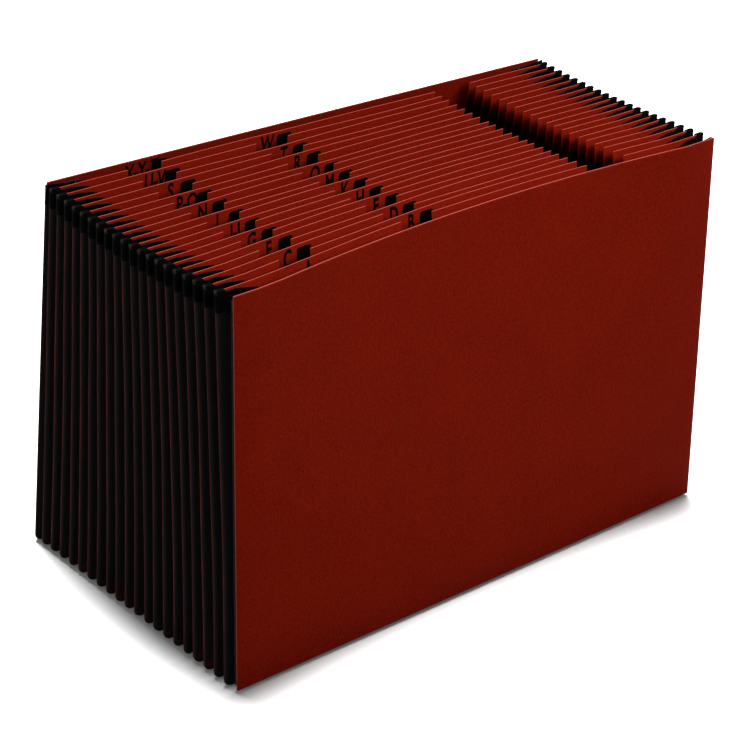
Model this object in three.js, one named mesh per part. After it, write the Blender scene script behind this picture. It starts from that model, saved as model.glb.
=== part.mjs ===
// Open-top expanding file of red fibre card: two covers and twenty dividers, carried by one
// pleated gusset that runs down the left side, under the file and up the right side.
// Millimetres, +Z up. +X runs along the width and +Y from the front cover to the back cover.
import * as THREE from 'three';
import { mergeVertices } from 'three/addons/utils/BufferGeometryUtils.js';

// Covers
const coverWidth = 381;
const coverHeight = 254;
const coverCard = 1;

// How far the file is fanned open
const bottomDepth = 208.8;
const topDepthLeft = 179;
const topDepthRight = 161.1;
const frontLean = 14.3; // the front cover's top leans back by this much
const frontBow = 11; // and the middle of its top edge bows back by this much more
const bowStart = 32; // the bow begins at this height above a cover's lower edge
const bowMargin = 26; // and this far in from its side edges, clear of the gusset
const sideSway = 7; // the middle of the stack hangs this far to the left

// Pockets
const pocketCount = 21;
const spacingDrift = 0.4; // uneven spacing, as a share of one pocket
const driftPeriod = 26; // pockets for one swing of that unevenness

// Gusset
const gussetPaper = 0.5;
const foldReach = 2; // the folds stand past the covers' side and lower edges
const foldHalf = 1.4; // half the outer width of the fold around a divider's edge
const hugDepth = 14; // how far the fold lies flat on its divider
const ridgeDepth = 23; // depth of the ridge between two dividers
const foldCorner = 5; // lower corner radius at the outer fold
const ridgeCorner = 3; // and at the ridge
const cornerSteps = 2;
const gussetDrop = 2.5; // the gusset ends this far below the covers' upper edges
const flapDepth = 24; // end flap glued to a cover
const endFoldWidth = 1.8; // outer width of the fold beside a cover
const seat = 0.3; // room between pieces that touch

// Cloth tape folded over the gusset's upper ends
const tapeCloth = 0.2;
const tapeWidth = 12.7;
const tapeSeat = 0.15;

// Dividers
const dividerCard = 0.5;
const dividerSetback = 2.5; // edge of the card to the outside of its fold
const dividerDrop = 1; // the dividers stand this far below the covers' upper edges

// Cut-outs in the dividers' upper edges, measured from the covers' left edge
const fingerStart = 287;
const fingerWidth = 29.4;
const fingerDepth = 32;
const windowWidth = 24.2;
const windowDepth = 10;
const leftWindowStart = 52;
const rightWindowStart = 140.6;

const dividerCount = pocketCount - 1;
const leftEdge = -coverWidth / 2;
const rightEdge = coverWidth / 2;
const fingerLeft = leftEdge + fingerStart;
const fingerRight = fingerLeft + fingerWidth;
const leftWindow = leftEdge + leftWindowStart;
const rightWindow = leftEdge + rightWindowStart;

// Across the width the bow is a run of straight facets between these places.
const middleFacet = (rightWindow + fingerLeft) / 2;
const bowEnds = [leftEdge + bowMargin, rightEdge - bowMargin];
const bowFacets = [bowEnds[0], rightWindow, middleFacet, fingerLeft, fingerRight, bowEnds[1]];

function bowAt(x) {
  const reach = coverWidth / 2 - bowMargin;
  const height = (facet) => 1 - (facet / reach) ** 2;
  for (let i = 1; i < bowFacets.length; i++) {
    const [from, to] = [bowFacets[i - 1], bowFacets[i]];
    if (x >= from && x <= to) {
      return height(from) + (height(to) - height(from)) * (x - from) / (to - from);
    }
  }
  return 0;
}

// A point of a sheet. stack runs from 0 at the front cover to 1 at the back cover, rise is the
// height up the leaning sheet from a cover's lower edge, and offset is a step along +Y.
function place(stack, x, rise, offset = 0) {
  const foot = (stack - 0.5) * bottomDepth;
  const topDepth = topDepthLeft + (topDepthRight - topDepthLeft) * (x / coverWidth + 0.5);
  const lean = frontLean - bottomDepth / 2 + stack * topDepth - foot;
  const bowRise = Math.max(0, (rise - bowStart) / (coverHeight - bowStart));
  const bow = frontBow * (1 - stack) ** 2 * bowAt(x) * bowRise;
  const upright = rise > 0 ? Math.sqrt(1 - (lean / coverHeight) ** 2) : 1;
  const sway = -4 * sideSway * stack * (1 - stack);
  return [x + sway, foot + lean * rise / coverHeight + bow + offset, foldReach + rise * upright];
}

// Where divider number k stands in the stack
function stackOf(k) {
  const drift = spacingDrift * Math.cos(2 * Math.PI * (k - 1) / driftPeriod);
  return (k + drift) / pocketCount;
}

function closedMesh(points, faces) {
  const geometry = new THREE.BufferGeometry();
  geometry.setAttribute('position', new THREE.Float32BufferAttribute(points.flat(), 3));
  geometry.setIndex(faces.flat());
  return mergeVertices(geometry, 1e-4);
}

// A card sheet of the given cells: two faces, with a wall wherever a cell has no neighbour. rising
// says which way each cell's diagonal runs, so that it runs as that of the gusset glued to it.
function sheetGeometry({ stack, xs, rises, offsets, hasCard, rising = true }) {
  const points = [];
  const faces = [];
  const columns = xs.length - 1;
  const rows = rises.length - 1;
  for (const offset of offsets) {
    for (const rise of rises) {
      for (const x of xs) points.push(place(stack, x, rise, offset));
    }
  }
  const front = (i, j) => j * xs.length + i;
  const back = (i, j) => front(i, j) + xs.length * rises.length;
  const quad = (a, b, c, d) => faces.push([a, b, c], [a, c, d]);
  const card = (i, j) => i >= 0 && j >= 0 && i < columns && j < rows && hasCard(i, j);
  for (let i = 0; i < columns; i++) {
    for (let j = 0; j < rows; j++) {
      if (!card(i, j)) continue;
      const [west, south, east, north] = [[i, j], [i + 1, j], [i + 1, j + 1], [i, j + 1]];
      const ring = rising ? [west, south, east, north] : [south, east, north, west];
      quad(...ring.map((node) => front(...node)));
      const [first, second, third, fourth] = ring.map((node) => back(...node));
      quad(first, fourth, third, second);
      if (!card(i, j - 1)) quad(front(i, j), back(i, j), back(i + 1, j), front(i + 1, j));
      if (!card(i, j + 1)) quad(front(i + 1, j + 1), back(i + 1, j + 1), back(i, j + 1), front(i, j + 1));
      if (!card(i - 1, j)) quad(front(i, j + 1), back(i, j + 1), back(i, j), front(i, j));
      if (!card(i + 1, j)) quad(front(i + 1, j), back(i + 1, j), back(i + 1, j + 1), front(i + 1, j + 1));
    }
  }
  const used = [...new Set(faces.flat())].sort((a, b) => a - b);
  const renumber = new Map(used.map((old, fresh) => [old, fresh]));
  const renumbered = faces.map((face) => face.map((old) => renumber.get(old)));
  return closedMesh(used.map((old) => points[old]), renumbered);
}

function coverGeometry(stack, frontOffset) {
  const xs = [leftEdge, ...bowFacets, rightEdge];
  const rises = [0, bowStart, coverHeight];
  const offsets = [frontOffset, frontOffset + coverCard];
  return sheetGeometry({ stack, xs, rises, offsets, hasCard: () => true, rising: stack < 0.5 });
}

function dividerGeometry(k) {
  const edge = coverWidth / 2 + foldReach - dividerSetback;
  const top = coverHeight - dividerDrop;
  const windowLeft = k % 2 === 1 ? rightWindow : leftWindow;
  const windowRight = windowLeft + windowWidth;
  const xs = [...new Set([-edge, ...bowFacets, windowLeft, windowRight, edge])].sort((a, b) => a - b);
  const rises = [dividerSetback - foldReach, bowStart, top - fingerDepth, top - windowDepth, top];
  const offsets = [-dividerCard / 2, dividerCard / 2];
  const within = (i, from, to) => xs[i] >= from && xs[i + 1] <= to;
  const above = (j, rise) => rises[j] >= rise;
  const hasCard = (i, j) => {
    const inFinger = within(i, fingerLeft, fingerRight) && above(j, top - fingerDepth);
    const inWindow = within(i, windowLeft, windowRight) && above(j, top - windowDepth);
    return !inFinger && !inWindow;
  };
  return sheetGeometry({ stack: stackOf(k), xs, rises, offsets, hasCard });
}

// The gusset's section from the front cover to the back cover, as a run of corners. layer is the
// distance from the outer face into the paper, and depth is measured inwards from the outer folds.
function pleats(layer) {
  const corners = [];
  const corner = (stack, offset, depth) => corners.push({ stack, offset, depth });
  const pitch = Math.min(topDepthLeft, topDepthRight) / pocketCount;
  const ridgeSlope = Math.atan2(pitch / 2 - foldHalf, ridgeDepth - hugDepth);
  const ridge = ridgeDepth + layer / Math.sin(ridgeSlope);
  const endFold = foldReach + layer;
  const flap = coverCard + seat + layer;
  const panel = coverCard + seat + endFoldWidth - layer;
  corner(0, flap, flapDepth);
  corner(0, flap, endFold);
  corner(0, panel, endFold);
  corner(0, panel, hugDepth);
  for (let k = 1; k <= dividerCount; k++) {
    const before = k === 1 ? 0 : stackOf(k - 1);
    corner((before + stackOf(k)) / 2, 0, ridge);
    corner(stackOf(k), layer - foldHalf, hugDepth);
    corner(stackOf(k), layer - foldHalf, layer);
    corner(stackOf(k), foldHalf - layer, layer);
    corner(stackOf(k), foldHalf - layer, hugDepth);
  }
  corner((stackOf(dividerCount) + 1) / 2, 0, ridge);
  corner(1, -panel, hugDepth);
  corner(1, -panel, endFold);
  corner(1, -flap, endFold);
  corner(1, -flap, flapDepth);
  return corners;
}

// A place on the gusset's way round the file, for a corner at a given depth. side is -1 on the
// left and 1 on the right; turn runs from 0 on the side wall to 1 on the bottom run.
function sidePoint(corner, side, rise) {
  const x = side * (coverWidth / 2 + foldReach - corner.depth);
  return place(corner.stack, x, rise, corner.offset);
}

function turnPoint(corner, side, turn) {
  const radius = foldCorner + (ridgeCorner - foldCorner) * corner.depth / ridgeDepth;
  const inset = corner.depth + radius;
  const angle = turn * Math.PI / 2;
  const x = side * (coverWidth / 2 + foldReach - inset + radius * Math.cos(angle));
  const rise = inset - foldReach - radius * Math.sin(angle);
  return place(corner.stack, x, rise, corner.offset);
}

// Rings of points joined one to the next, with both ends closed by strips between the halves
function skin(rings, closeEnd) {
  const faces = [];
  const count = rings[0].length;
  for (let r = 0; r + 1 < rings.length; r++) {
    for (let i = 0; i < count; i++) {
      const next = (i + 1) % count;
      const [a, b] = [r * count + i, r * count + next];
      faces.push([a, b + count, a + count], [a, b, b + count]);
    }
  }
  const last = (rings.length - 1) * count;
  for (const [a, b, c] of closeEnd(count)) faces.push([a, c, b], [last + a, last + b, last + c]);
  return closedMesh(rings.flat(), faces);
}

function gussetGeometry() {
  const outer = pleats(0);
  const section = [...outer, ...pleats(gussetPaper).reverse()];
  const top = coverHeight - gussetDrop;
  const rings = [];
  const sideRing = (side, rise) => rings.push(section.map((corner) => sidePoint(corner, side, rise)));
  const turnRing = (side, turn) => rings.push(section.map((corner) => turnPoint(corner, side, turn)));
  sideRing(-1, top);
  sideRing(-1, bowStart);
  for (let step = 0; step <= cornerSteps; step++) turnRing(-1, step / cornerSteps);
  for (let step = cornerSteps; step >= 0; step--) turnRing(1, step / cornerSteps);
  sideRing(1, bowStart);
  sideRing(1, top);
  const halves = (count) => {
    const strips = [];
    for (let i = 0; i + 1 < outer.length; i++) {
      const [a, b, c, d] = [i, i + 1, count - 2 - i, count - 1 - i];
      strips.push([a, b, c], [a, c, d]);
    }
    return strips;
  };
  return skin(rings, halves);
}

// The tape covers the gusset from its first fold to its last, but not the two glued flaps.
function tapeGeometry(side) {
  const top = coverHeight - gussetDrop;
  const low = top - tapeWidth;
  const outerFace = -tapeSeat - tapeCloth;
  const outerGlue = -tapeSeat;
  const innerGlue = gussetPaper + tapeSeat;
  const innerFace = innerGlue + tapeCloth;
  const crossing = [
    [outerFace, low], [outerGlue, low], [outerGlue, top + tapeSeat], [innerGlue, top + tapeSeat],
    [innerGlue, low], [innerFace, low], [innerFace, top + tapeSeat + tapeCloth],
    [outerFace, top + tapeSeat + tapeCloth],
  ];
  const runs = crossing.map(([layer, rise]) => {
    return pleats(layer).slice(2, -2).map((corner) => sidePoint(corner, side, rise));
  });
  const rings = runs[0].map((_, i) => runs.map((run) => run[i]));
  if (side < 0) rings.reverse();
  const legs = () => [[0, 1, 2], [0, 2, 7], [7, 2, 3], [7, 3, 6], [6, 3, 4], [6, 4, 5]];
  return skin(rings, legs);
}

const fibreCard = { color: 0x74140b, roughness: 0.62, metalness: 0 };
const innerCard = { color: 0x8e1e13, roughness: 0.7, metalness: 0 };
const gussetBrown = { color: 0x2b0c0c, roughness: 0.75, metalness: 0 };
const blackCloth = { color: 0x0b0b0c, roughness: 0.85, metalness: 0 };

const file = new THREE.Group();
function add(name, geometry, look) {
  const mesh = new THREE.Mesh(geometry, new THREE.MeshStandardMaterial(look));
  mesh.name = name;
  file.add(mesh);
}

add('front_cover', coverGeometry(0, 0), fibreCard);
for (let k = 1; k <= dividerCount; k++) {
  add(`divider_${String(k).padStart(2, '0')}`, dividerGeometry(k), innerCard);
}
add('back_cover', coverGeometry(1, -coverCard), fibreCard);
add('gusset', gussetGeometry(), gussetBrown);
add('gusset_tape_left', tapeGeometry(-1), blackCloth);
add('gusset_tape_right', tapeGeometry(1), blackCloth);

// The origin lies under the middle of the space that the file takes up.
const space = new THREE.Box3().setFromObject(file);
const middle = space.getCenter(new THREE.Vector3());
file.position.set(-middle.x, -middle.y, -space.min.z);
file.updateMatrixWorld(true);

export default file;
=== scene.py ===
import math
import random

import bpy
from mathutils import Matrix, Vector


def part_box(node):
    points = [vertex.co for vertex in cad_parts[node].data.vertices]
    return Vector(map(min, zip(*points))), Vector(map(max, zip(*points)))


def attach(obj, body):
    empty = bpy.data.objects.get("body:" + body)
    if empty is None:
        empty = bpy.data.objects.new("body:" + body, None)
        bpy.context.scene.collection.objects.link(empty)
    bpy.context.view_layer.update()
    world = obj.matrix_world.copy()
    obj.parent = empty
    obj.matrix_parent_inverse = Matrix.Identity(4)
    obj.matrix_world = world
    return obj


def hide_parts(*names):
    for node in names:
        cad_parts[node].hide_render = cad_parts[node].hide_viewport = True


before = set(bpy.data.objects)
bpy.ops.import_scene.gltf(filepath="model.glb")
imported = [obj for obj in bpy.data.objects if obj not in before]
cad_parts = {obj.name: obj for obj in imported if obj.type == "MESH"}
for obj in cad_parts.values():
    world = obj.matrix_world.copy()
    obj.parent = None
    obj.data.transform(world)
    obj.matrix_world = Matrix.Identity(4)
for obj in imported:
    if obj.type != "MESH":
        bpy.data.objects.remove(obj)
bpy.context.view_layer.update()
mm = 0.001

# The fanned file, in millimetres as it was measured. The covers lean in at the top.
fan = {
    "width": 381.0,
    "height": 254.0,
    "bottomDepth": 208.8,
    "topDepthLeft": 179.0,
    "topDepthRight": 161.1,
    "frontLean": 14.3,
    "bow": 11.0,          # how far the front cover's top edge bows back
    "bowStart": 32.0,     # the height where that bow begins
    "bowMargin": 26.0,    # how far in from either side it begins
    "sway": 7.0,          # how far the middle of the stack hangs to the left
    "pockets": 21,
    "drift": 0.4,         # how uneven the spacing is at the top, in pockets
    "driftPeriod": 26,    # over how many pockets the unevenness repeats
    "growth": 1.7,        # the power by which drift and sway grow towards the top
    "foldReach": 2.0,     # the gusset folds stand past the covers' edges
}
fan["dividers"] = fan["pockets"] - 1
fan["centre"] = (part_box("front_cover")[0].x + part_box("front_cover")[1].x) / 2 / mm

card = {
    "coverThick": 1.0,
    "coverCorner": 2.5,
    "dividerThick": 0.5,
    "dividerDrop": 1.0,
    "dividerSetback": 2.5,
    "fingerStart": 287.0,
    "fingerWidth": 29.4,
    "fingerDepth": 32.0,
    "windowWidth": 24.2,
    "windowDepth": 10.0,
    "leftWindow": 52.0,
    "rightWindow": 140.6,
    "edgeRound": 0.25,
    "ripple": 0.9,        # how unevenly the dividers' upper edges hang
    "longWave": 0.021,
    "shortWave": 0.047,
    "shortPhase": 2.3,
    "shortShare": 0.5,
    "phaseRange": 6.28,
    "seed": 7,
}
leftEdge = -fan["width"] / 2
dividerTop = fan["height"] - card["dividerDrop"]

gusset = {
    "thick": 0.45,
    "foldHalf": 1.4,
    "hugDepth": 14.0,
    "tapeReach": 5.5,     # how far in the tape covers a divider's end
    "tapeSlope": 1.6,     # over how much further its upper edge drops
    "ridgeDepth": 23.0,
    "ridgeRound": ((-0.12, 1.6), (-0.04, 0.25), (0.04, 0.25), (0.12, 1.6)),
    "ridgeSpread": 2.2,
    "sideFoot": 4.0,
    "foldCorner": 5.0,
    "ridgeCorner": 3.0,
    "drop": 2.5,
    "flapDepth": 24.0,
    "endFold": 1.8,
    "seat": 0.3,
    "sideSteps": 22,
    "cornerSteps": 6,
    "bottomSteps": 26,
    "tipSteps": 6,
    "ridgeWander": 0.8,
    "foldWander": 0.32,
    "wanderWaves": (0.21, 0.47),
    "wanderCalm": 30.0,   # the paper calms over this height below the tape
    "phaseRange": 6.28,
    "seed": 11,
}

tape = {
    "thick": 0.2,
    "seat": 0.1,
    "width": 12.7,
    "cover": 0.3,         # stands this far over the dividers' glued ends
    "fallSteps": 5,
    "turnSteps": 6,
    "turnLift": 0.02,
    "capSteps": 8,
    "capArch": 6,
    "capRound": 1.5,
    "capRise": 0.35,
    "capTuck": 0.5,
    # paler cloth at the tops of the folds: wear, and a painted glint there too
    "wearAndGlintReach": 0.42,
    "topWearAndGlint": 0.27,
    "capWearAndGlint": 0.05,
}
sideNames = {-1: "Left", 1: "Right"}

letters = {
    "labels": ["A", "B", "C", "D", "E", "F", "G", "H", "I-J", "K", "L", "M", "N", "O", "P-Q", "R", "S", "T",
               "U-V", "W", "X-Y-Z"],
    "size": 15.0,
    "narrow": 0.62,
    "bold": 0.95,
    # a black patch of painted shade after each letter:
    "markStart": 21.5,
    "markWidth": 11.0,
    "markTop": 2.2,
    "markFoot": 12.6,
    "markCorner": 2.2,
    "markSteps": 20,
    "middle": 7.3,        # below the divider's upper edge
    "inset": 14.4,        # from the left side of the window in front
    "lift": 0.06,
}

look = {"azimuth": -42.07, "elevation": 28.83, "roll": 3.35, "distance": 1690.8, "lens": 128.21,
        "target": (-2.6, 0.0, 104.4)}


def stackOf(k):
    if k == 0 or k == fan["pockets"]:
        return k / fan["pockets"]
    return (k + fan["drift"] * math.cos(2 * math.pi * (k - 1) / fan["driftPeriod"])) / fan["pockets"]


def evenOf(stack):
    # the same place counted in equal pockets, as the folds stand at the foot
    k = 0
    while k < fan["pockets"] - 1 and stackOf(k + 1) < stack:
        k += 1
    return (k + (stack - stackOf(k)) / (stackOf(k + 1) - stackOf(k))) / fan["pockets"]


def place(stack, x, rise, offset=0.0):
    # a point of a sheet, in metres: rise is measured up the leaning sheet, offset along +Y; the
    # spacing is even at the foot, and its drift and the sway grow towards the top
    width, height = fan["width"], fan["height"]
    grown = max(0.0, rise / height) ** fan["growth"]
    even = evenOf(stack)
    stack = even + (stack - even) * grown
    foot = (stack - 0.5) * fan["bottomDepth"]
    topDepth = fan["topDepthLeft"] + (fan["topDepthRight"] - fan["topDepthLeft"]) * (x / width + 0.5)
    lean = fan["frontLean"] - fan["bottomDepth"] / 2 + stack * topDepth - foot
    bow = fan["bow"] * (1 - stack) ** 2 * bowAt(x) * bowShare(rise)
    upright = math.sqrt(1 - (lean / height) ** 2) if rise > 0 else 1.0
    sway = -4 * fan["sway"] * stack * (1 - stack) * grown
    along = foot + lean * rise / height + bow + offset
    spot = (x + sway + fan["centre"], along, fan["foldReach"] + rise * upright)
    return tuple(value * mm for value in spot)


def bowAt(x):
    reach = fan["width"] / 2 - fan["bowMargin"]
    return max(0.0, 1 - (x / reach) ** 2)


def bowShare(rise):
    return max(0.0, (rise - fan["bowStart"]) / (fan["height"] - fan["bowStart"]))


def rippleAt(k, x, rise):
    # how far divider k's ripple pushes that point along +Y; the sheet tree follows the same rule
    if k not in ripplePhase:
        return 0.0
    phase = ripplePhase[k]
    share = bowShare(rise)
    wave = math.sin(x * card["longWave"] + phase)
    wave += math.sin(x * card["shortWave"] + phase * card["shortPhase"]) * card["shortShare"]
    return wave * bowAt(x) * share * share * card["ripple"]


chance = random.Random(card["seed"])
ripplePhase = {k: chance.uniform(0.0, card["phaseRange"]) for k in range(1, fan["dividers"] + 1)}


# Materials

class Wire:
    # wraps a shader or geometry socket, so that arithmetic on it adds the nodes
    def __init__(self, tree, socket):
        self.tree = tree
        self.socket = socket

    def maths(self, operation, other=None, swap=False):
        node = self.tree.nodes.new("ShaderNodeMath")
        node.operation = operation
        ends = [self, other] if not swap else [other, self]
        for slot, end in zip(node.inputs, ends):
            if isinstance(end, Wire):
                self.tree.links.new(end.socket, slot)
            elif end is not None:
                slot.default_value = end
        return Wire(self.tree, node.outputs[0])

    def __add__(self, other):
        return self.maths("ADD", other)

    def __radd__(self, other):
        return self.maths("ADD", other)

    def __sub__(self, other):
        return self.maths("SUBTRACT", other)

    def __rsub__(self, other):
        return self.maths("SUBTRACT", other, swap=True)

    def __mul__(self, other):
        return self.maths("MULTIPLY", other)

    def __rmul__(self, other):
        return self.maths("MULTIPLY", other)

    def __truediv__(self, other):
        return self.maths("DIVIDE", other)

    def __pow__(self, other):
        return self.maths("POWER", other)

    def least(self, other):
        return self.maths("MINIMUM", other)

    def most(self, other):
        return self.maths("MAXIMUM", other)

    def above(self, other):
        return self.maths("GREATER_THAN", other)

    def below(self, other):
        return self.maths("LESS_THAN", other)

    def held(self):
        return self.most(0.0).least(1.0)

    def root(self):
        return self.maths("SQRT")

    def sine(self):
        return self.maths("SINE")


class Board:
    # a node tree with one method that adds any node
    def __init__(self, tree):
        self.tree = tree

    def add(self, kind, settings=None, **links):
        node = self.tree.nodes.new(kind)
        for name, value in (settings or {}).items():
            setattr(node, name, value)
        for name, value in links.items():
            self.join(node, name, value)
        return node

    def join(self, node, name, value):
        slot = node.inputs[int(name[1:])] if name[0] == "_" else node.inputs[name.replace("_", " ")]
        if isinstance(value, Wire):
            self.tree.links.new(value.socket, slot)
        else:
            slot.default_value = value

    def out(self, node, name=0):
        return Wire(self.tree, node.outputs[name])

    def spot(self):
        return self.out(self.add("ShaderNodeTexCoord"), "Object")

    def stored(self, name):
        # a number kept on the mesh under that name
        return self.out(self.add("ShaderNodeAttribute", {"attribute_name": name}), 2)


def newMaterial(name):
    made = bpy.data.materials.new(name)
    made.use_nodes = True
    made.node_tree.nodes.clear()
    return made, Board(made.node_tree)


def finishMaterial(board, colour, rough, height, bumpSize, specular):
    surface = board.add("ShaderNodeBsdfPrincipled", Base_Color=colour, Roughness=rough)
    surface.inputs["Specular IOR Level"].default_value = specular
    bump = board.add("ShaderNodeBump", Height=height)
    bump.inputs["Strength"].default_value = 1.0
    bump.inputs["Distance"].default_value = bumpSize
    board.join(surface, "Normal", board.out(bump))
    end = board.add("ShaderNodeOutputMaterial")
    board.join(end, "Surface", board.out(surface))


def blendColours(board, mask, first, second):
    node = board.add("ShaderNodeMix", {"data_type": "RGBA"})
    board.join(node, "_0", mask)
    board.join(node, "_6", first)
    board.join(node, "_7", second)
    return board.out(node, 2)


def noise(board, spot, scale, detail=3.0, rough=0.5):
    node = board.add("ShaderNodeTexNoise", Vector=spot, Scale=scale, Detail=detail, Roughness=rough)
    return board.out(node, 0)


def rgba(red, green, blue):
    return (red, green, blue, 1.0)


cardLook = {
    "cover": rgba(0.195, 0.0086, 0.0020),
    "coverDark": rgba(0.120, 0.0046, 0.0012),
    "coverEdge": rgba(0.30, 0.058, 0.046),
    "divider": rgba(0.275, 0.0122, 0.0036),
    "dividerDark": rgba(0.195, 0.0078, 0.0023),
    "dividerEdge": rgba(0.34, 0.068, 0.052),
    # painted shade inside the pockets: the divider card darkens to this colour below its upper edge
    "paintedPocketShade": rgba(0.0050, 0.0022, 0.0022),
    "paintedShadeStart": 5.0,     # millimetres below the sheet's upper edge
    "paintedShadeRun": 9.0,
    "paintedShadeWaver": 3.0,
    # painted shade also takes the cut edge's paleness away, from here down
    "edgeShadeStart": 1.5,      # from here down the cut edge loses its paleness inside the pocket
    "edgeShadeRun": 4.0,
    "grain": 560.0,
    "poreGain": 3.0,
    "poreShare": 0.35,
    "mottle": 620.0,
    "cloud": 30.0,
    "fleckGain": 2.6,
    "fleckLoss": 0.85,
    "fleckCloud": 0.5,
    "rough": 0.52,
    "roughWaver": 0.18,
    "bump": 0.00030,
    "specular": 0.012,
}


def makeCard(name, base, dark, edge, rougher, paintedPocketShade=0.0):
    # fibre card: leather-like grain pressed into red-brown board, with a paler cut edge; the last
    # argument sets how much painted shade darkens the card inside its pocket, its cut edge too
    made, board = newMaterial(name)
    spot = board.spot()
    grain = board.out(board.add("ShaderNodeTexVoronoi", {"feature": "DISTANCE_TO_EDGE"}, Vector=spot,
                                Scale=cardLook["grain"]), 0)
    pores = (grain * cardLook["poreGain"]).held()
    mottle = noise(board, spot, cardLook["mottle"], 6.0, 0.65)
    cloud = noise(board, spot, cardLook["cloud"], 3.0)
    clouded = (cloud - 0.5) * cardLook["fleckCloud"]
    fleck = (mottle * cardLook["fleckGain"] - cardLook["fleckLoss"] + clouded).held()
    tone = blendColours(board, fleck, dark, base)
    below = board.stored("below")
    # painted shade inside the pocket: first on the pale cut edge, then over the whole card further down
    edgeShadeMask = ((below - cardLook["edgeShadeStart"]) / cardLook["edgeShadeRun"]).held() * paintedPocketShade
    bare = blendColours(board, board.stored("cutEdge").held() * (1.0 - edgeShadeMask), tone, edge)
    waver = (cloud - 0.5) * cardLook["paintedShadeWaver"]
    pocketShadeMask = ((below - cardLook["paintedShadeStart"] + waver) / cardLook["paintedShadeRun"]).held() * paintedPocketShade
    colour = blendColours(board, pocketShadeMask, bare, cardLook["paintedPocketShade"])
    height = pores * cardLook["poreShare"] + mottle * (1 - cardLook["poreShare"])
    rough = cardLook["rough"] + rougher + mottle * cardLook["roughWaver"]
    finishMaterial(board, colour, rough, height, cardLook["bump"], cardLook["specular"])
    return made


gussetLook = {
    # painted light and shade: the first two colours paint a highlight along each outer fold, brighter on
    # some folds; the next two paint near-black shade on the flanks and in the valleys
    "tip": rgba(0.075, 0.0120, 0.0120),
    "tipBright": rgba(0.150, 0.0240, 0.0230),
    "side": rgba(0.0190, 0.0140, 0.0140),
    "deep": rgba(0.0190, 0.0180, 0.0190),
    "fibre": 900.0,
    "patch": 60.0,
    "highlightReach": 0.22,     # how far from a fold's tip the painted highlight reaches, and how much further in patches
    "highlightWaver": 0.34,
    "highlightGain": 4.5,
    # a painted glint where a pleat creases as it turns under the file
    "creaseGlintGain": 3.0,
    "creaseGlintLoss": 1.15,
    "valleyShadeFrom": 6.0,
    "rough": 0.62,
    "roughWaver": 0.2,
    "bump": 0.00015,
    "specular": 0.01,
}


def makeGussetPaper():
    # dark red-brown paper: a painted highlight along each outer fold, brighter on some folds, and painted
    # near-black shade on its flanks and down in its valleys
    made, board = newMaterial("gussetPaper")
    spot = board.spot()
    depth = board.stored("foldDepth")
    fibre = noise(board, spot, gussetLook["fibre"], 4.0, 0.6)
    patch = noise(board, spot, gussetLook["patch"], 3.0)
    reach = patch * gussetLook["highlightWaver"] + gussetLook["highlightReach"]
    # painted highlight along each fold's tip
    atFold = ((reach - depth) * gussetLook["highlightGain"]).held()
    # painted glint on the creases at the lower corners
    atCreaseGlint = board.stored("creaseGlint") * (patch * gussetLook["creaseGlintGain"] - gussetLook["creaseGlintLoss"])
    # painted shade, near black, changing towards the valleys
    deep = (depth / gussetLook["valleyShadeFrom"]).held()
    inner = blendColours(board, deep, gussetLook["side"], gussetLook["deep"])
    # the painted highlight is brighter on some folds, chosen at random
    lightened = (board.stored("foldBrightShare") * (0.5 + patch)).held()
    tip = blendColours(board, lightened, gussetLook["tip"], gussetLook["tipBright"])
    colour = blendColours(board, atFold.most(atCreaseGlint.held()), inner, tip)
    rough = gussetLook["rough"] + fibre * gussetLook["roughWaver"]
    finishMaterial(board, colour, rough, fibre, gussetLook["bump"], gussetLook["specular"])
    return made


tapeLook = {
    "thread": rgba(0.0022, 0.0022, 0.0024),
    "gap": rgba(0.0008, 0.0008, 0.0009),
    # paler cloth where it turns over a fold: worn threads, and a painted glint
    "lightened": rgba(0.20, 0.165, 0.125),
    "threads": 5200.0,
    "fluff": 1100.0,
    "fluffGain": 2.4,
    "fluffLoss": 0.5,
    "rough": 0.72,
    "roughWaver": 0.15,
    "bump": 0.00008,
    "specular": 0.01,
}


def makeTapeCloth():
    # fine black bookbinder's cloth, paler where it turns over a fold: worn to its threads there, and a
    # painted glint as well
    made, board = newMaterial("tapeCloth")
    spot = board.spot()
    parts = board.add("ShaderNodeSeparateXYZ", Vector=spot)
    across = (board.out(parts, 0) + board.out(parts, 1)) * tapeLook["threads"]
    upward = board.out(parts, 2) * tapeLook["threads"]
    weave = (across.sine() * upward.sine()) * 0.5 + 0.5
    fluff = noise(board, spot, tapeLook["fluff"], 3.0)
    tone = blendColours(board, weave.held(), tapeLook["gap"], tapeLook["thread"])
    # wear and painted glint at the fold tops
    lightened = (board.stored("wearAndGlint") * (fluff * tapeLook["fluffGain"] - tapeLook["fluffLoss"])).held()
    colour = blendColours(board, lightened, tone, tapeLook["lightened"])
    rough = tapeLook["rough"] + fluff * tapeLook["roughWaver"]
    finishMaterial(board, colour, rough, weave, tapeLook["bump"], tapeLook["specular"])
    return made


inkLook = {
    "full": rgba(0.002, 0.0018, 0.0018),
    "thin": rgba(0.007, 0.004, 0.0036),
    "speck": 1500.0,
    "speckGain": 1.5,
    "speckLoss": 0.4,
    "rough": 0.5,
    "roughWaver": 0.2,
    "bump": 0.00004,
    "specular": 0.01,
}


def makeInk():
    # printer's ink, a little thinner in specks; the black patches of painted shade use it too
    made, board = newMaterial("letterInkAndShade")
    speck = noise(board, board.spot(), inkLook["speck"], 3.0)
    thin = (speck * inkLook["speckGain"] - inkLook["speckLoss"]).held()
    colour = blendColours(board, thin, inkLook["full"], inkLook["thin"])
    rough = inkLook["rough"] + speck * inkLook["roughWaver"]
    finishMaterial(board, colour, rough, speck, inkLook["bump"], inkLook["specular"])
    return made


coverCard = makeCard("coverCard", cardLook["cover"], cardLook["coverDark"], cardLook["coverEdge"], 0.0)
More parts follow.
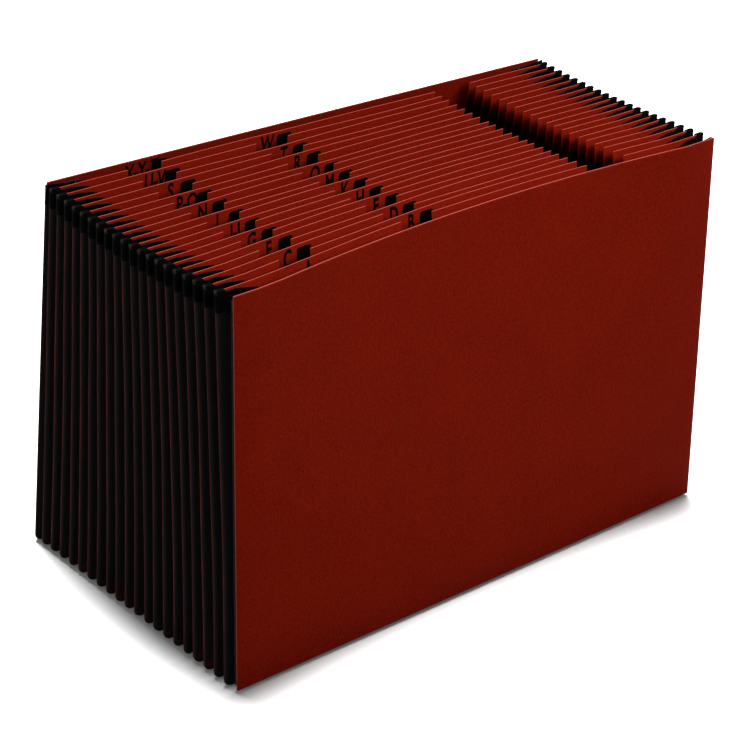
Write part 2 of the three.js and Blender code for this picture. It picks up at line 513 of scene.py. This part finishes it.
# the divider card carries painted shade inside its pocket
dividerCard = makeCard("dividerCard", cardLook["divider"], cardLook["dividerDark"],
                       cardLook["dividerEdge"], 0.06, paintedPocketShade=0.94)
gussetPaper = makeGussetPaper()
tapeCloth = makeTapeCloth()
letterInkAndShade = makeInk()
print("materials made")


# Card sheets, by one geometry tree

def addInput(tree, name, value, kind="NodeSocketFloat"):
    socket = tree.interface.new_socket(name, in_out="INPUT", socket_type=kind)
    if value is not None:
        socket.default_value = value
    return socket.identifier


def piecewise(steps, ends, counts):
    # a length that grows evenly with the step number between each pair of ends
    total = None
    start = 0.0
    for low, high, count in zip(ends[:-1], ends[1:], counts):
        run = ((steps - start) / count).held() * (high - low)
        total = run if total is None else total + run
        start = count + start
    return total + ends[0]


def makeSheetTree():
    # builds one sheet of the fan: a grid, less its cut-outs, bent into its place in the stack
    tree = bpy.data.node_groups.new("fanSheet", "GeometryNodeTree")
    board = Board(tree)
    names = {}
    uncut = 999.0  # higher than any sheet
    fingerLeft = leftEdge + card["fingerStart"]
    for name, value in (
            ("stack", 0.0), ("even", 0.0), ("ripple", 0.0), ("phase", 0.0), ("thickness", 0.5),
            ("offset", 0.0), ("edge", 190.0), ("foot", 0.5), ("top", 253.0),
            ("windowLeft", 0.0), ("windowRight", 0.0), ("windowFoot", uncut),
            ("fingerLeft", fingerLeft), ("fingerRight", fingerLeft + card["fingerWidth"]),
            ("fingerFoot", uncut)):
        names[name] = addInput(tree, name, value)
    names["material"] = addInput(tree, "material", None, "NodeSocketMaterial")
    tree.interface.new_socket("sheet", in_out="OUTPUT", socket_type="NodeSocketGeometry")
    given = tree.nodes.new("NodeGroupInput")
    value = {name: Wire(tree, socket) for name, socket in zip(names, given.outputs)}

    # grid steps: across between the sides of the cut-outs, and up between their feet
    columns = (8, 5, 14, 6, 8)
    rows = (10, 5, 5)
    grid = board.add("GeometryNodeMeshGrid", Size_X=float(sum(columns)), Size_Y=float(sum(rows)),
                     Vertices_X=sum(columns) + 1, Vertices_Y=sum(rows) + 1)
    position = board.out(board.add("GeometryNodeInputPosition"))
    where = board.add("ShaderNodeSeparateXYZ", Vector=position)
    step = board.out(where, 0) + sum(columns) / 2
    level = board.out(where, 1) + sum(rows) / 2
    x = piecewise(step, [0.0 - value["edge"], value["windowLeft"], value["windowRight"],
                         value["fingerLeft"], value["fingerRight"], value["edge"]], columns)
    rise = piecewise(level, [value["foot"], value["top"] - card["fingerDepth"],
                             value["top"] - card["windowDepth"], value["top"]], rows)
    flat = board.add("GeometryNodeSetPosition", Geometry=board.out(grid))
    board.join(flat, "Position", board.out(board.add("ShaderNodeCombineXYZ", X=x, Z=rise)))

    # cut-outs: faces whose middle lies inside the finger notch or the letter window
    spot = board.add("ShaderNodeSeparateXYZ", Vector=position)
    across, up = board.out(spot, 0), board.out(spot, 2)

    def insideOf(kind):
        between = across.above(value[kind + "Left"]) * across.below(value[kind + "Right"])
        return between * up.above(value[kind + "Foot"])

    inFinger = insideOf("finger")
    inWindow = insideOf("window")
    cut = board.add("GeometryNodeDeleteGeometry", {"domain": "FACE"}, Geometry=board.out(flat))
    board.join(cut, "Selection", inFinger.most(inWindow))

    below = board.add("GeometryNodeStoreNamedAttribute", {"data_type": "FLOAT", "domain": "POINT"},
                      Geometry=board.out(cut), Name="below", Value=value["top"] - up)

    # the bend: the same rule as the solids follow
    width, height = fan["width"], fan["height"]
    grown = (up / height).most(0.0) ** fan["growth"]
    stack = value["even"] + (value["stack"] - value["even"]) * grown
    foot = (stack - 0.5) * fan["bottomDepth"]
    topDepth = (across / width + 0.5) * (fan["topDepthRight"] - fan["topDepthLeft"]) + fan["topDepthLeft"]
    lean = stack * topDepth - foot + (fan["frontLean"] - fan["bottomDepth"] / 2)
    share = ((up - fan["bowStart"]) / (height - fan["bowStart"])).most(0.0)
    fromMiddle = across / (width / 2 - fan["bowMargin"])
    arch = (1.0 - fromMiddle * fromMiddle).most(0.0)
    bow = (1.0 - stack) * (1.0 - stack) * arch * share * fan["bow"]
    longWave = (across * card["longWave"] + value["phase"]).sine()
    shortWave = (across * card["shortWave"] + value["phase"] * card["shortPhase"]).sine()
    ripple = (longWave + shortWave * card["shortShare"]) * arch * share * share * value["ripple"]
    leanShare = lean / height
    upright = (1.0 - leanShare * leanShare).root()
    sway = stack * (1.0 - stack) * grown * (-4 * fan["sway"])
    bent = board.add("ShaderNodeCombineXYZ",
                     X=(across + sway + fan["centre"]) * mm,
                     Y=(foot + leanShare * up + bow + ripple + value["offset"]) * mm,
                     Z=(up * upright + fan["foldReach"]) * mm)
    laid = board.add("GeometryNodeSetPosition", Geometry=board.out(below), Position=board.out(bent))

    # thickness: the sheet pushed along +Y, closed with a wall round every edge
    thick = board.add("ShaderNodeCombineXYZ", X=0.0, Y=value["thickness"] * mm, Z=0.0)
    pushed = board.add("GeometryNodeExtrudeMesh", Mesh=board.out(laid), Offset=board.out(thick),
                       Offset_Scale=1.0)
    pushed.inputs["Individual"].default_value = False
    walls = board.out(pushed, "Side")
    marked = board.add("GeometryNodeStoreNamedAttribute", {"data_type": "FLOAT", "domain": "FACE"},
                       Geometry=board.out(pushed), Selection=walls, Name="cutEdge")
    marked.inputs["Value"].default_value = 1.0
    turned = board.add("GeometryNodeFlipFaces", Mesh=board.out(laid))
    both = tree.nodes.new("GeometryNodeJoinGeometry")
    tree.links.new(marked.outputs[0], both.inputs[0])
    tree.links.new(turned.outputs[0], both.inputs[0])
    welded = board.add("GeometryNodeMergeByDistance", Geometry=board.out(both), Distance=0.00001)
    coloured = board.add("GeometryNodeSetMaterial", Geometry=board.out(welded), Material=value["material"])
    end = tree.nodes.new("NodeGroupOutput")
    tree.links.new(coloured.outputs[0], end.inputs[0])
    return tree, names


def newObject(name, data):
    made = bpy.data.objects.new(name, data)
    bpy.context.scene.collection.objects.link(made)
    return made


def growSheet(name, tree, names, values):
    # runs the tree once and keeps its result as a plain mesh
    seedMesh = bpy.data.meshes.new(name + "Seed")
    maker = newObject(name + "Seed", seedMesh)
    modifier = maker.modifiers.new("fan", "NODES")
    modifier.node_group = tree
    for key, value in values.items():
        modifier[names[key]] = value
    bpy.context.view_layer.update()
    ready = maker.evaluated_get(bpy.context.evaluated_depsgraph_get())
    mesh = bpy.data.meshes.new_from_object(ready)
    bpy.data.objects.remove(maker)
    mesh.name = name
    return newObject(name, mesh)


def softenEdges(piece, width, steps=2):
    bevel = piece.modifiers.new("edge", "BEVEL")
    bevel.width = width
    bevel.segments = steps
    bevel.limit_method = "ANGLE"
    bevel.angle_limit = math.radians(50)
    return applied(piece)


def roundCorners(piece):
    # rounds the sheet's two upper corners, through its thickness
    mesh = piece.data
    highest = max(vertex.co.z for vertex in mesh.vertices)
    lowX = min(vertex.co.x for vertex in mesh.vertices)
    highX = max(vertex.co.x for vertex in mesh.vertices)

    def atCorner(vertex):
        atSide = min(vertex.co.x - lowX, highX - vertex.co.x) < 0.0002
        return atSide and highest - vertex.co.z < 0.002

    weights = mesh.attributes.new("bevel_weight_edge", "FLOAT", "EDGE")
    for edge in mesh.edges:
        if all(atCorner(mesh.vertices[index]) for index in edge.vertices):
            weights.data[edge.index].value = 1.0
    bevel = piece.modifiers.new("corner", "BEVEL")
    bevel.width = card["coverCorner"] * mm
    bevel.segments = 5
    bevel.limit_method = "WEIGHT"
    return applied(piece)


def applied(piece):
    # bakes the modifiers into the piece's own mesh
    bpy.context.view_layer.update()
    ready = piece.evaluated_get(bpy.context.evaluated_depsgraph_get())
    mesh = bpy.data.meshes.new_from_object(ready)
    piece.modifiers.clear()
    old = piece.data
    mesh.name = old.name
    piece.data = mesh
    bpy.data.meshes.remove(old)
    return piece


def settle(piece, nodes, smooth=True):
    for polygon in piece.data.polygons:
        polygon.use_smooth = smooth
    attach(piece, "root")
    if nodes:
        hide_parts(*nodes)


fanTree, fanInputs = makeSheetTree()


def windowOf(k):
    start = card["rightWindow"] if k % 2 == 1 else card["leftWindow"]
    return leftEdge + start, leftEdge + start + card["windowWidth"]


def makeCover(name, node, stack, offset):
    left, right = windowOf(1)
    piece = growSheet(name, fanTree, fanInputs, {
        "stack": stack, "even": stack, "thickness": card["coverThick"], "offset": offset,
        "edge": fan["width"] / 2, "foot": 0.0, "top": fan["height"],
        "windowLeft": left, "windowRight": right, "material": coverCard})
    roundCorners(piece)
    softenEdges(piece, card["edgeRound"] * mm)
    settle(piece, [node])
    return piece


def makeDivider(k):
    left, right = windowOf(k)
    edge = fan["width"] / 2 + fan["foldReach"] - card["dividerSetback"]
    fingerLeft = leftEdge + card["fingerStart"]
    piece = growSheet(f"dividerCard{k:02d}", fanTree, fanInputs, {
        "stack": stackOf(k), "even": k / fan["pockets"], "ripple": card["ripple"], "phase": ripplePhase[k],
        "thickness": card["dividerThick"], "offset": -card["dividerThick"] / 2, "edge": edge,
        "foot": card["dividerSetback"] - fan["foldReach"], "top": dividerTop,
        "windowLeft": left, "windowRight": right, "windowFoot": dividerTop - card["windowDepth"],
        "fingerLeft": fingerLeft, "fingerRight": fingerLeft + card["fingerWidth"],
        "fingerFoot": dividerTop - card["fingerDepth"], "material": dividerCard})
    settle(piece, [f"divider_{k:02d}"], smooth=False)
    return piece


makeCover("frontCoverCard", "front_cover", 0.0, 0.0)
makeCover("backCoverCard", "back_cover", 1.0, -card["coverThick"])
dividers = [makeDivider(k) for k in range(1, fan["dividers"] + 1)]
print("covers and dividers made")


# The gusset: one pleated sheet round the left side, the bottom and the right side

def pleatRun(rounding):
    # the pleats' section as (stack, offset, depth); rounding is half the paper and whatever lies on it
    run = []
    half = gusset["foldHalf"] - rounding
    panel = card["coverThick"] + gusset["seat"] + gusset["endFold"] - rounding
    flap = card["coverThick"] + gusset["seat"] + rounding
    endTip = fan["foldReach"] + rounding
    middle = (panel + flap) / 2
    bend = (panel - flap) / 2
    # how far the paper opens beside a divider, and at what depth
    pinches = ((0.82, gusset["hugDepth"]), (0.87, gusset["tapeReach"] + gusset["tapeSlope"]),
               (0.88, gusset["tapeReach"]), (0.95, gusset["tapeReach"] * 0.5))

    def turn(stack, centre, tip, radius):
        for i in range(gusset["tipSteps"] + 1):
            angle = math.pi * i / gusset["tipSteps"]
            run.append((stack, centre - radius * math.cos(angle), tip + radius * (1 - math.sin(angle))))

    run.append((0.0, flap, gusset["flapDepth"]))
    turn(0.0, middle, endTip, bend)
    run.append((0.0, panel, gusset["hugDepth"]))
    for k in range(1, fan["dividers"] + 1):
        here = stackOf(k)
        ridgePoints(run, stackOf(k - 1), here, rounding)
        run += [(here, -half * opening, depth) for opening, depth in pinches]
        turn(here, 0.0, rounding, half)
        run += [(here, half * opening, depth) for opening, depth in reversed(pinches)]
    ridgePoints(run, stackOf(fan["dividers"]), 1.0, rounding)
    run.append((1.0, -panel, gusset["hugDepth"]))
    turn(1.0, -middle, rounding, bend)
    run.append((1.0, -flap, gusset["flapDepth"]))
    return run


def ridgePoints(run, before, after, rounding):
    # the free fold between two sheets, inside the file
    middle = (before + after) / 2
    pitch = (after - before) * (fan["topDepthLeft"] + fan["topDepthRight"]) / 2
    deep = gusset["ridgeDepth"] + rounding * gusset["ridgeSpread"]
    for share, back in gusset["ridgeRound"]:
        run.append((middle, share * pitch, deep - back))


def wayRound(steps):
    # stations from the top of the left side, round under the file, to the top of the right side
    top = fan["height"] - gusset["drop"]
    low = gusset["ridgeDepth"] + gusset["ridgeCorner"] + gusset["sideFoot"]
    stations = [("side", -1, top + (low - top) * i / steps) for i in range(steps + 1)]
    stations += [("turn", -1, i / gusset["cornerSteps"]) for i in range(gusset["cornerSteps"] + 1)]
    stations += [("under", 0, i / gusset["bottomSteps"]) for i in range(1, gusset["bottomSteps"])]
    stations += [("turn", 1, 1 - i / gusset["cornerSteps"]) for i in range(gusset["cornerSteps"] + 1)]
    stations += [("side", 1, low + (top - low) * i / steps) for i in range(steps + 1)]
    return stations


def stationPoint(station, corner, wander=0.0):
    # where one corner of the section lies at a station of the way round
    kind, side, value = station
    stack, offset, depth = corner
    reach = fan["width"] / 2 + fan["foldReach"]
    if kind == "side":
        return place(stack, side * (reach - depth), value, offset + wander)
    wider = (gusset["ridgeCorner"] - gusset["foldCorner"]) * depth / gusset["ridgeDepth"]
    radius = gusset["foldCorner"] + wider
    inset = depth + radius
    if kind == "under":
        return place(stack, (reach - inset) * (2 * value - 1), depth - fan["foldReach"], offset + wander)
    angle = value * math.pi / 2
    x = side * (reach - inset + radius * math.cos(angle))
    return place(stack, x, inset - fan["foldReach"] - radius * math.sin(angle), offset + wander)


def gridMesh(name, columns, attributes, closed=False):
    # a mesh of quads over columns of points; attributes hold one number for each point
    count = len(columns[0])
    points = [point for column in columns for point in column]
    faces = []
    for c in range(len(columns) - 1):
        for i in range(count if closed else count - 1):
            j = (i + 1) % count
            faces.append((c * count + i, (c + 1) * count + i, (c + 1) * count + j, c * count + j))
    mesh = bpy.data.meshes.new(name)
    mesh.from_pydata(points, [], faces)
    for key, numbers in attributes.items():
        layer = mesh.attributes.new(key, "FLOAT", "POINT")
        layer.data.foreach_set("value", numbers)
    return newObject(name, mesh)


def creaseGlintAt(station, corner):
    # 1 where a pleat is squeezed as it turns under the file and a painted glint lies on its crease, 0
    # elsewhere
    if station[0] != "turn" or not 1.0 < corner[2] < gusset["hugDepth"]:
        return 0.0
    return math.sin(math.pi * min(1.0, station[2] + 0.1)) ** 2


def wanderAt(station, corner, phases, s):
    # the paper's unevenness: widest at the free ridges, slight at the folds, none at covers and tape
    if corner[0] in (0.0, 1.0):
        return 0.0
    free = max(0.0, (corner[2] - gusset["hugDepth"]) / (gusset["ridgeDepth"] - gusset["hugDepth"]))
    reach = gusset["ridgeWander"] * free + gusset["foldWander"] * (1 - free)
    if station[0] == "side":
        tapeFoot = fan["height"] - gusset["drop"] - tape["width"]
        reach *= min(1.0, max(0.0, (tapeFoot - station[2]) / gusset["wanderCalm"]))
    slow, quick = gusset["wanderWaves"]
    return reach * (math.sin(s * slow + phases[0]) + 0.5 * math.sin(s * quick + phases[1]))


def makeGusset():
    run = pleatRun(gusset["thick"] / 2)
    stations = wayRound(gusset["sideSteps"])
    drift = random.Random(gusset["seed"])
    full = gusset["phaseRange"]
    phases = [(drift.uniform(0, full), drift.uniform(0, full)) for _ in range(2 * fan["pockets"] + 1)]
    columns = []
    for s, station in enumerate(stations):
        column = []
        for corner in run:
            wander = wanderAt(station, corner, phases[round(corner[0] * fan["pockets"] * 2)], s)
            column.append(stationPoint(station, corner, wander))
        columns.append(column)
    depths = [corner[2] for _ in stations for corner in run]
    shares = [drift.random() for _ in range(fan["pockets"] + 1)]
    # how much brighter each fold's painted highlight is
    lightened = [shares[round(corner[0] * fan["pockets"])] for _ in stations for corner in run]
    # where the painted crease glint lies
    creaseGlints = [creaseGlintAt(station, corner) for station in stations for corner in run]
    piece = gridMesh("gussetPleats", columns, {
        "foldDepth": depths, "foldBrightShare": lightened, "creaseGlint": creaseGlints})
    solid = piece.modifiers.new("paper", "SOLIDIFY")
    solid.thickness = gusset["thick"] * mm
    solid.offset = 0.0
    applied(piece)
    piece.data.materials.append(gussetPaper)
    settle(piece, ["gusset"])
    return piece


def tapeTop(corner):
    # the tape's upper edge: over a divider's glued end, and lower between two dividers
    top = fan["height"] - gusset["drop"]
    glued = (gusset["tapeReach"] + gusset["tapeSlope"] - corner[2]) / gusset["tapeSlope"]
    return top + (dividerTop + tape["cover"] - top) * min(1.0, max(0.0, glued))


def makeTape(side, node):
    # cloth folded over the gusset's upper end: down its outside, over the edge and down its inside
    half = gusset["thick"] / 2
    out = -tape["seat"] - tape["thick"] / 2
    into = 2 * half - out
    over = tape["seat"] + tape["thick"] / 2
    steps = tape["fallSteps"]
    trail = [(out, tape["width"] * (i / steps - 1)) for i in range(steps + 1)]
    for i in range(1, tape["turnSteps"]):
        angle = math.pi * i / tape["turnSteps"]
        trail.append((half + (out - half) * math.cos(angle), over * math.sin(angle) + tape["turnLift"]))
    trail += [(into, -tape["width"] * i / steps) for i in range(steps + 1)]
    columns = []
    wearAndGlint = []
    for layer, drop in trail:
        run = pleatRun(layer)[gusset["tipSteps"] // 2 + 1:-gusset["tipSteps"] // 2 - 1]
        columns.append([stationPoint(("side", side, tapeTop(corner) + drop), corner) for corner in run])
        # wear and painted glint at each fold's top
        for corner in run:
            atTip = max(0.0, 1 - corner[2] / tape["wearAndGlintReach"])
            atTop = max(0.0, 1 + drop / tape["wearAndGlintReach"])
            wearAndGlint.append(tape["topWearAndGlint"] * atTip * atTop)
    piece = gridMesh("tape" + sideNames[side], columns, {"wearAndGlint": wearAndGlint})
    caps = [makeTapeCap(side, k) for k in range(1, fan["dividers"] + 1)]
    solid = piece.modifiers.new("cloth", "SOLIDIFY")
    solid.thickness = tape["thick"] * mm
    solid.offset = 0.0
    applied(piece)
    piece.data.materials.append(tapeCloth)
    settle(piece, [node])
    for cap in caps:
        cap.data.materials.append(tapeCloth)
        settle(cap, [])
    return piece


def makeTapeCap(side, k):
    # the cloth where it crosses over the top of divider k's glued end
    half = gusset["foldHalf"] + tape["seat"] + tape["thick"]
    start = -tape["seat"] - tape["thick"]
    reach = gusset["tapeReach"] + tape["seat"]
    steps, arch = tape["capSteps"], tape["capArch"]
    columns = []
    wearAndGlint = []
    for i in range(steps + 1):
        near = i / tape["capRound"]
        pinch = math.sqrt(max(0.0, 1 - (1 - near) ** 2)) if near < 1 else 1.0
        column = []
        for j in range(arch + 1):
            angle = math.pi * j / arch
            tuck = tape["capTuck"] if j in (0, arch) else 0.0
            rise = dividerTop + tape["cover"] + tape["capRise"] * math.sin(angle) - tuck
            corner = (stackOf(k), half * math.cos(angle) * pinch, start + reach * i / steps)
            column.append(stationPoint(("side", side, rise), corner))
            # wear and a painted glint just inside the cap's end
            wearAndGlint.append(tape["capWearAndGlint"] if i in (1, 2) and j in (2, 3, 4) else 0.0)
        columns.append(column)
    return gridMesh(f"tapeCap{sideNames[side]}{k:02d}", columns, {"wearAndGlint": wearAndGlint})


makeGusset()
makeTape(-1, "gusset_tape_left")
makeTape(1, "gusset_tape_right")
print("gusset and tapes made")


# Letters, printed on each sheet where the window of the sheet in front shows it, each followed by a black
# patch of painted shade

def onSheet(k, x, rise):
    # a point just in front of sheet k, where the printing and the painted-shade patches lie
    thick = card["coverThick"] if k == fan["pockets"] else card["dividerThick"] / 2
    return place(stackOf(k), x, rise, rippleAt(k, x, rise) - thick - letters["lift"])


def layOnSheet(name, mesh):
    mesh.materials.append(letterInkAndShade)
    piece = newObject(name, mesh)
    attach(piece, "root")
    return piece


def makeLetter(k, label):
    words = bpy.data.curves.new(f"letter{k:02d}", "FONT")
    words.body = label
    words.size = letters["size"] * mm
    words.offset = letters["bold"] * mm / 2
    words.align_x = "CENTER"
    words.align_y = "CENTER"
    words.fill_mode = "FRONT"
    words.resolution_u = 4
    maker = newObject(f"letter{k:02d}", words)
    bpy.context.view_layer.update()
    mesh = bpy.data.meshes.new_from_object(maker.evaluated_get(bpy.context.evaluated_depsgraph_get()))
    bpy.data.objects.remove(maker)
    middle = windowOf(k - 1)[0] + letters["inset"]
    level = dividerTop - letters["middle"]
    for vertex in mesh.vertices:
        vertex.co = onSheet(k, middle + vertex.co.x / mm * letters["narrow"], level + vertex.co.y / mm)
    return layOnSheet(f"letter{k:02d}", mesh)


def makeShadePatch(k):
    # a black patch of painted shade, after each letter, at the right end of the window in front, with
    # rounded corners
    radius = letters["markCorner"]
    across = letters["markWidth"] / 2 - radius
    up = (letters["markFoot"] - letters["markTop"]) / 2 - radius
    middle = windowOf(k - 1)[0] + letters["markStart"] + letters["markWidth"] / 2
    level = dividerTop - (letters["markTop"] + letters["markFoot"]) / 2
    steps = letters["markSteps"]
    points = []
    for i in range(steps):
        angle = 2 * math.pi * (i + 0.5) / steps
        x = middle + math.copysign(across, math.cos(angle)) + radius * math.cos(angle)
        rise = level + math.copysign(up, math.sin(angle)) + radius * math.sin(angle)
        points.append(onSheet(k, x, rise))
    mesh = bpy.data.meshes.new(f"mark{k:02d}")
    mesh.from_pydata(points, [], [tuple(range(steps))])
    return layOnSheet(f"mark{k:02d}", mesh)


for number, label in enumerate(letters["labels"], start=1):
    makeLetter(number, label)
# painted shade patches, from the second sheet on
for number in range(2, fan["pockets"] + 1):
    makeShadePatch(number)
print("letters made")


# Floor, light and camera

studio = {
    "floorSize": 6.0,
    "floorGlow": 0.03,
    "floorColour": 0.90,
    "floorBounce": 0.05,
    "sky": 0.25,
    "aim": 0.12,          # the lamps face this height of the file, in metres
    "key": {"azimuth": 16, "elevation": 42, "distance": 1.15, "size": 0.6, "power": 9.4},
    "top": {"azimuth": 165, "elevation": 82.3, "distance": 9.0, "size": 1.65, "power": 860.0},
    "table": {"azimuth": 165, "elevation": 82.3, "distance": 9.0, "size": 1.65, "power": 1250.0},
    "fill": {"azimuth": -80, "elevation": 32, "distance": 2.6, "size": 1.4, "power": 18.0},
}


def seenDirectly(board):
    # 1 for what the camera sees, straight or in a shine, and 0 for what lights the file
    path = board.add("ShaderNodeLightPath")
    return board.out(path, "Is Camera Ray").most(board.out(path, "Is Glossy Ray")).most(
        board.out(path, "Is Transmission Ray"))


def makeFloor():
    half = studio["floorSize"] / 2
    mesh = bpy.data.meshes.new("floor")
    corners = [(-half, -half, 0), (half, -half, 0), (half, half, 0), (-half, half, 0)]
    mesh.from_pydata(corners, [], [(0, 1, 2, 3)])
    floor = newObject("floor", mesh)
    made, board = newMaterial("floorWhite")
    dim = rgba(*[studio["floorBounce"]] * 3)
    bright = rgba(*[studio["floorColour"]] * 3)
    shade = blendColours(board, seenDirectly(board), dim, bright)
    plain = board.add("ShaderNodeBsdfDiffuse", Color=shade)
    strength = seenDirectly(board) * studio["floorGlow"]
    glow = board.add("ShaderNodeEmission", Color=rgba(1, 1, 1), Strength=strength)
    both = board.add("ShaderNodeAddShader", _0=board.out(plain), _1=board.out(glow))
    board.join(board.add("ShaderNodeOutputMaterial"), "Surface", board.out(both))
    mesh.materials.append(made)
    return floor


def makeSky():
    world = bpy.data.worlds.new("studio")
    bpy.context.scene.world = world
    world.use_nodes = True
    world.node_tree.nodes.clear()
    board = Board(world.node_tree)
    strength = seenDirectly(board) * (1.0 - studio["sky"]) + studio["sky"]
    back = board.add("ShaderNodeBackground", Color=rgba(1, 1, 1), Strength=strength)
    board.join(board.add("ShaderNodeOutputWorld"), "Surface", board.out(back))


def towards(azimuth, elevation):
    # a unit step from the file towards something seen at that azimuth, where 0 is in front
    turn, tilt = math.radians(azimuth), math.radians(elevation)
    return Vector((math.sin(turn) * math.cos(tilt), -math.cos(turn) * math.cos(tilt), math.sin(tilt)))


def linkToFloor(holder, floor, state):
    # INCLUDE: the lamp lights the floor alone; EXCLUDE: it lights the file alone
    kept = bpy.data.collections.new(holder.name + "Receivers")
    kept.objects.link(floor)
    holder.light_linking.receiver_collection = kept
    kept.collection_objects[0].light_linking.link_state = state


def makeLamp(name):
    setting = studio[name]
    lamp = bpy.data.lights.new(name, "AREA")
    lamp.energy = setting["power"]
    lamp.shape = "DISK"
    lamp.size = setting["size"]
    holder = newObject(name, lamp)
    aim = Vector((0.0, 0.0, studio["aim"]))
    step = towards(setting["azimuth"], setting["elevation"])
    holder.location = aim + step * setting["distance"]
    holder.rotation_euler = step.to_track_quat("Z", "Y").to_euler()
    return holder


def makeCamera():
    back = towards(look["azimuth"], look["elevation"])
    right = Vector((0, 0, 1)).cross(back).normalized()
    up = back.cross(right)
    roll = math.radians(look["roll"])
    sideways = right * math.cos(roll) + up * math.sin(roll)
    upwards = up * math.cos(roll) - right * math.sin(roll)
    x, y, z = look["target"]
    spot = Vector((x + fan["centre"], y, z + fan["foldReach"])) * mm + back * look["distance"] * mm
    lens = bpy.data.cameras.new("camera")
    lens.lens = look["lens"]
    lens.sensor_width = 36.0
    lens.clip_end = 20.0
    camera = newObject("camera", lens)
    camera.matrix_world = Matrix((
        (sideways.x, upwards.x, back.x, spot.x),
        (sideways.y, upwards.y, back.y, spot.y),
        (sideways.z, upwards.z, back.z, spot.z),
        (0, 0, 0, 1)))
    bpy.context.scene.camera = camera


floor = makeFloor()
makeSky()
makeLamp("top")
linkToFloor(makeLamp("table"), floor, "INCLUDE")
for name in ("key", "fill"):
    linkToFloor(makeLamp(name), floor, "EXCLUDE")
makeCamera()
bpy.context.scene.view_settings.view_transform = "Standard"
print("studio made")
